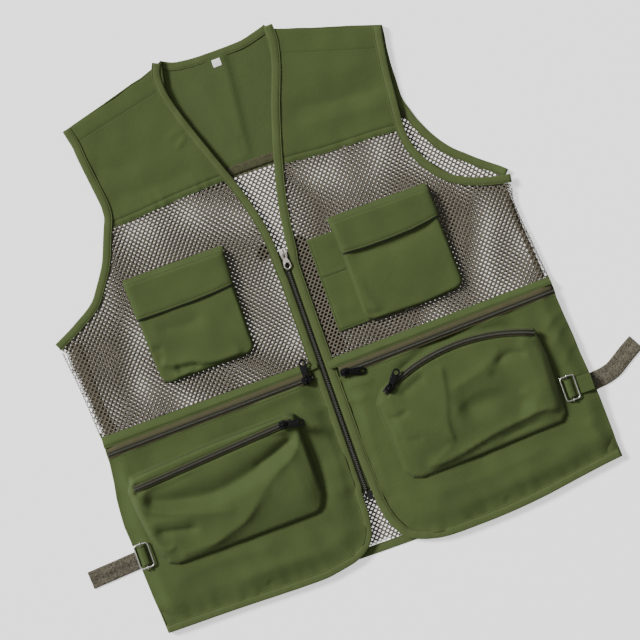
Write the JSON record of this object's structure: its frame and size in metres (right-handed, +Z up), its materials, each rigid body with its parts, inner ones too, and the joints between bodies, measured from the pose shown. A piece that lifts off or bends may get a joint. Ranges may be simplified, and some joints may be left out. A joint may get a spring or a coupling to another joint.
{
  "type": "fishing vest",
  "caption": "Sleeveless mesh-and-cloth fishing vest with a front zip, flap chest pockets, zipped bellows cargo pockets, long zip pockets and waist adjusters, laid flat on its back.",
  "frame": {"origin": "middle of the vest's outline, on the surface that it lies on", "axes": "+X towards the wearer's left, +Y from the hem to the collar, +Z up out of the front as the vest lies on its back"},
  "size_m": [0.7082, 0.6417, 0.0386],
  "materials": {
    "cloth": "matt poly-cotton poplin",
    "binding": "folded bias tape, topstitched",
    "net": "knitted net with open holes",
    "nylon_zip": "dark nylon coil and tape",
    "black_enamel": "semi-gloss black enamel",
    "silver": "plated zinc",
    "label": "blank woven tape",
    "hook_loop": "hook and loop tape"
  },
  "bodies": {
    "back": {"back_yoke": "cloth", "back_mesh_panel": "net", "back_hem_binding": "binding", "back_neck_binding": "binding", "right_armhole_binding_back": "binding", "left_armhole_binding_back": "binding", "size_label": "label", "right_side_seam": "net", "left_side_seam": "net", "right_shoulder_yoke": "cloth", "left_shoulder_yoke": "cloth", "right_front_yoke": "cloth", "left_front_yoke": "cloth"},
    "right_front": {"right_mesh_panel": "net", "right_pocket_bag": "cloth", "right_lower_panel": "cloth", "right_long_zip": "nylon_zip", "right_chest_pouch": "cloth", "right_chest_hook_patch": "hook_loop", "right_cargo_pouch": "cloth", "right_cargo_zip": "nylon_zip", "right_front_binding": "binding", "right_armhole_binding_front": "binding", "main_zip_stringer_right": "nylon_zip", "main_zip_pin": "nylon_zip"},
    "left_front": {"left_mesh_panel": "net", "left_pocket_bag": "cloth", "left_lower_panel": "cloth", "left_long_zip": "nylon_zip", "left_chest_pouch": "cloth", "left_chest_hook_patch": "hook_loop", "left_cargo_pouch": "cloth", "left_cargo_zip": "nylon_zip", "left_front_binding": "binding", "left_armhole_binding_front": "binding", "main_zip_stringer_left": "nylon_zip", "main_zip_box": "nylon_zip", "left_flat_pocket": "cloth"},
    "right_flap": {"right_chest_flap": "cloth", "right_chest_loop_patch": "hook_loop"},
    "left_flap": {"left_chest_flap": "cloth", "left_chest_loop_patch": "hook_loop"},
    "right_long_runner": {"right_long_slider": "black_enamel"},
    "right_long_tongue": {"right_long_pull": "black_enamel"},
    "left_long_runner": {"left_long_slider": "black_enamel"},
    "left_long_tongue": {"left_long_pull": "black_enamel"},
    "right_cargo_runner": {"right_cargo_slider": "black_enamel"},
    "right_cargo_tongue": {"right_cargo_pull": "black_enamel"},
    "left_cargo_runner": {"left_cargo_slider": "black_enamel"},
    "left_cargo_tongue": {"left_cargo_pull": "black_enamel"},
    "main_runner": {"main_zip_slider": "silver"},
    "main_tongue": {"main_zip_pull": "silver"},
    "right_adjuster": {"right_buckle_tab": "cloth", "right_buckle_bar": "silver"},
    "right_adjuster_frame": {"right_buckle_frame": "silver"},
    "left_adjuster": {"left_buckle_tab": "cloth", "left_buckle_bar": "silver"},
    "left_adjuster_frame": {"left_buckle_frame": "silver"},
    "right_strap": {"right_waist_strap": "net"},
    "left_strap": {"left_waist_strap": "net"}
  },
  "joints": [
    {"name": "right_front_open", "type": "hinge", "parent": "back", "child": "right_front", "pos_m": [-0.2935, -0.003, 0.001], "axis": [0, -1, 0], "range_deg": [0, 18]},
    {"name": "left_front_open", "type": "hinge", "parent": "back", "child": "left_front", "pos_m": [0.2705, 0.037, 0.001], "axis": [-0.0504, 0.9987, 0], "range_deg": [0, 18]},
    {"name": "main_zip_slide", "type": "slide", "parent": "left_front", "child": "main_runner", "axis": [0, -1, 0], "range_m": [0, 0.285]},
    {"name": "main_pull_flip", "type": "hinge", "parent": "main_runner", "child": "main_tongue", "pos_m": [-0.01, 0.057, 0.0136], "axis": [-1, 0, 0], "range_deg": [0, 170]},
    {"name": "right_chest_flap_lift", "type": "hinge", "parent": "right_front", "child": "right_flap", "pos_m": [-0.137, 0.0903, 0.0212], "axis": [-1, 0, 0], "range_deg": [0, 150]},
    {"name": "left_chest_flap_lift", "type": "hinge", "parent": "left_front", "child": "left_flap", "pos_m": [0.115, 0.0796, 0.0224], "axis": [-1, 0, 0], "range_deg": [0, 150]},
    {"name": "right_long_zip_slide", "type": "slide", "parent": "right_front", "child": "right_long_runner", "axis": [-0.9997, -0.0233, 0], "range_m": [0, 0.235]},
    {"name": "right_long_pull_flip", "type": "hinge", "parent": "right_long_runner", "child": "right_long_tongue", "pos_m": [-0.03385, -0.09179, 0.0187], "axis": [0.9945, -0.1045, 0], "range_deg": [0, 170]},
    {"name": "left_long_zip_slide", "type": "slide", "parent": "left_front", "child": "left_long_runner", "axis": [0.9995, 0.0312, 0], "range_m": [0, 0.248]},
    {"name": "left_long_pull_flip", "type": "hinge", "parent": "left_long_runner", "child": "left_long_tongue", "pos_m": [0.01171, -0.09802, 0.0187], "axis": [-0.2419, -0.9703, 0], "range_deg": [0, 170]},
    {"name": "right_cargo_zip_slide", "type": "slide", "parent": "right_front", "child": "right_cargo_runner", "axis": [-0.9972, -0.0744, 0], "range_m": [0, 0.178]},
    {"name": "right_cargo_pull_flip", "type": "hinge", "parent": "right_cargo_runner", "child": "right_cargo_tongue", "pos_m": [-0.07605, -0.13128, 0.0364], "axis": [-0.2079, -0.9781, 0], "range_deg": [0, 170]},
    {"name": "left_cargo_zip_run", "type": "hinge", "parent": "left_front", "child": "left_cargo_runner", "pos_m": [0.1493, -0.3265, 0.031], "axis": [0, 0, -1], "range_deg": [0, 46]},
    {"name": "left_cargo_pull_flip", "type": "hinge", "parent": "left_cargo_runner", "child": "left_cargo_tongue", "pos_m": [0.05393, -0.13247, 0.0364], "axis": [0.7314, -0.682, 0], "range_deg": [0, 170]},
    {"name": "right_buckle_fold", "type": "hinge", "parent": "right_front", "child": "right_adjuster", "pos_m": [-0.2916, -0.2226, 0.0149], "axis": [0, -1, 0], "range_deg": [0, 90]},
    {"name": "right_buckle_adjust", "type": "slide", "parent": "right_adjuster", "child": "right_adjuster_frame", "axis": [1, 0, 0], "range_m": [-0.0015, 0.0015]},
    {"name": "left_buckle_fold", "type": "hinge", "parent": "left_front", "child": "left_adjuster", "pos_m": [0.2824, -0.2038, 0.0149], "axis": [0, 1, 0], "range_deg": [0, 90]},
    {"name": "left_buckle_adjust", "type": "slide", "parent": "left_adjuster", "child": "left_adjuster_frame", "axis": [1, 0, 0], "range_m": [-0.0015, 0.0015]},
    {"name": "right_strap_fold", "type": "hinge", "parent": "back", "child": "right_strap", "pos_m": [-0.2958, -0.2273, 0.0012], "axis": [0, 1, 0], "range_deg": [0, 55]},
    {"name": "left_strap_fold", "type": "hinge", "parent": "back", "child": "left_strap", "pos_m": [0.2874, -0.2064, 0.0012], "axis": [0, -1, 0], "range_deg": [0, 55]}
  ]
}
